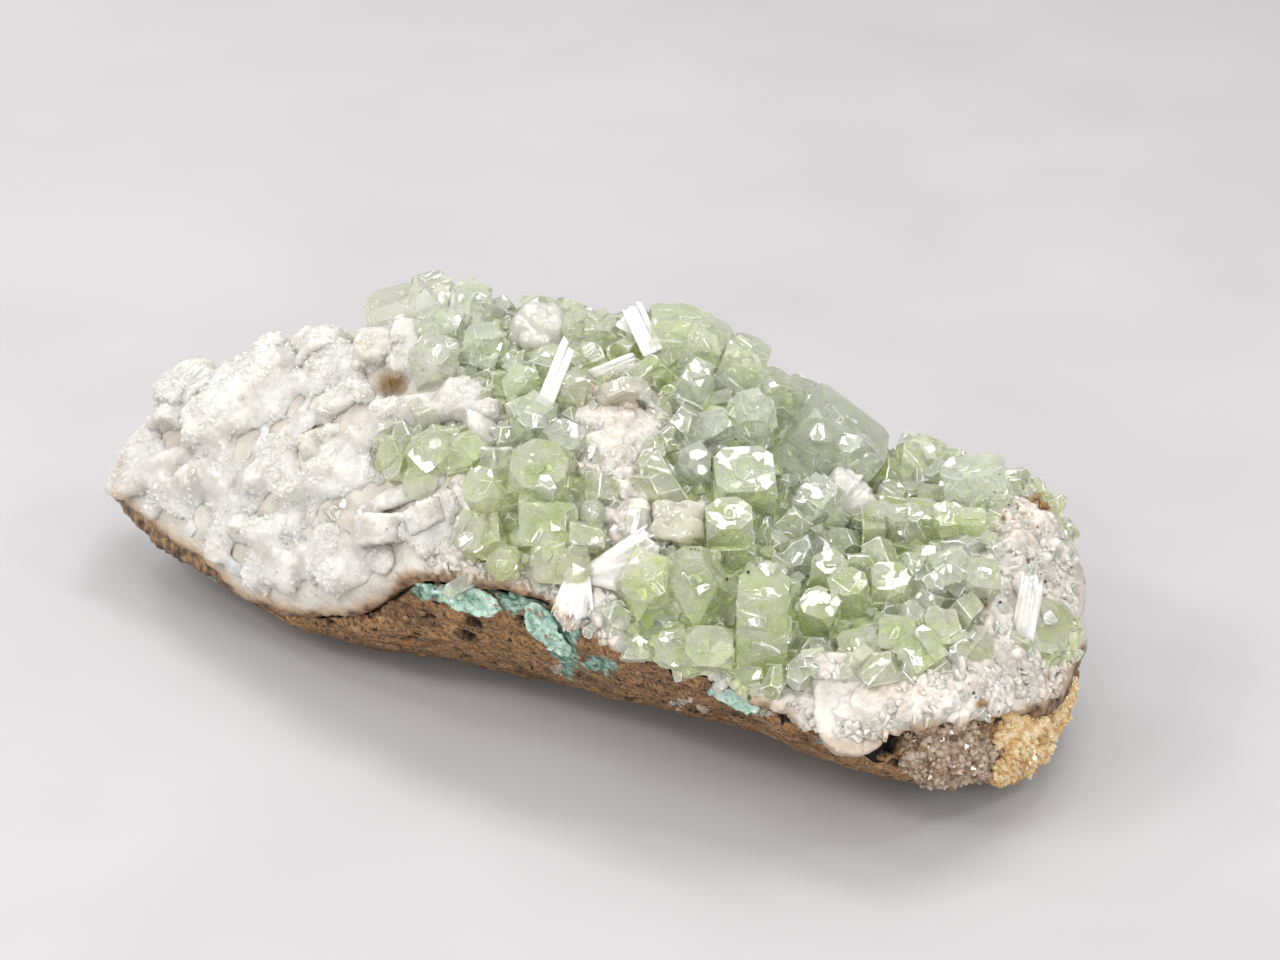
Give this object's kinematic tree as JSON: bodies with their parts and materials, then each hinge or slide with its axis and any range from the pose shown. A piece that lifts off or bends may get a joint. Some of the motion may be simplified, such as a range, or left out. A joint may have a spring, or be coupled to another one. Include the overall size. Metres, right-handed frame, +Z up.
{
  "type": "apophyllite cluster",
  "caption": "Free-standing cluster of translucent pale green apophyllite crystals and white stilbite blades on a curved piece of brown basalt rind.",
  "frame": {"origin": "a point on the worn flat under the rind, below the middle of the crystal bed", "axes": "+Z up, +X along the specimen towards its thick broken end, -Y towards the low front rim"},
  "size_m": [0.1562, 0.0712, 0.0534],
  "materials": {
    "basalt": "rough weathered stone, matt",
    "celadonite": "thin earthy crust, matt",
    "grey_druse": "fine glittering crystal points",
    "golden_quartz": "fine glittering crystal points, translucent",
    "stilbite": "pearly, translucent white",
    "peach_stilbite": "pearly, translucent cream",
    "clear_apophyllite": "clear natural crystal faces, vitreous",
    "pale_apophyllite": "pale green natural crystal faces, vitreous",
    "green_apophyllite": "green natural crystal faces, vitreous"
  },
  "bodies": {
    "root": {"basalt_rind": "basalt", "left_celadonite": "celadonite", "middle_celadonite": "celadonite", "right_celadonite": "celadonite", "grey_druse": "grey_druse", "golden_druse": "golden_quartz", "stilbite_bed": "stilbite", "tall_lath": "stilbite", "twin_laths": "stilbite", "lying_lath": "stilbite", "white_ball": "stilbite", "rim_sheaf": "stilbite", "hanging_fan": "stilbite", "right_sheaf": "stilbite", "upright_blade": "stilbite", "rim_plate": "stilbite", "left_ball": "stilbite", "ridge_blades": "stilbite", "lower_blades": "stilbite", "long_blade": "stilbite", "left_blades": "stilbite", "ridge_ball": "peach_stilbite", "beige_blades": "peach_stilbite", "beige_block": "peach_stilbite", "pale_block": "peach_stilbite", "pale_blades": "peach_stilbite", "summit_crystals": "clear_apophyllite", "upper_left_crystals": "clear_apophyllite", "upper_column": "clear_apophyllite", "centre_back_crystals": "clear_apophyllite", "round_crystal": "clear_apophyllite", "middle_round_crystal": "clear_apophyllite", "barrel_crystal": "clear_apophyllite", "great_slab": "clear_apophyllite", "grey_crystal": "clear_apophyllite", "right_round_crystal": "clear_apophyllite", "pale_right_crystal": "clear_apophyllite", "left_ridge_crystals": "pale_apophyllite", "middle_ridge_crystals": "pale_apophyllite", "right_ridge_crystals": "pale_apophyllite", "left_shoulder_crystal": "pale_apophyllite", "right_shoulder_crystal": "pale_apophyllite", "middle_block": "pale_apophyllite", "sparkling_pair": "pale_apophyllite", "back_left_crystals": "pale_apophyllite", "back_right_crystals": "pale_apophyllite", "left_nest_crystals": "green_apophyllite", "centre_block": "green_apophyllite", "low_left_crystals": "green_apophyllite", "front_pyramids": "green_apophyllite", "rim_crystals": "green_apophyllite", "front_column": "green_apophyllite", "middle_lower_crystal": "green_apophyllite", "right_small_crystals": "green_apophyllite", "prism_row": "green_apophyllite", "end_crystals": "green_apophyllite", "rim_cubes": "green_apophyllite", "hollow_crystals": "green_apophyllite", "back_middle_crystals": "green_apophyllite"}
  },
  "joints": []
}
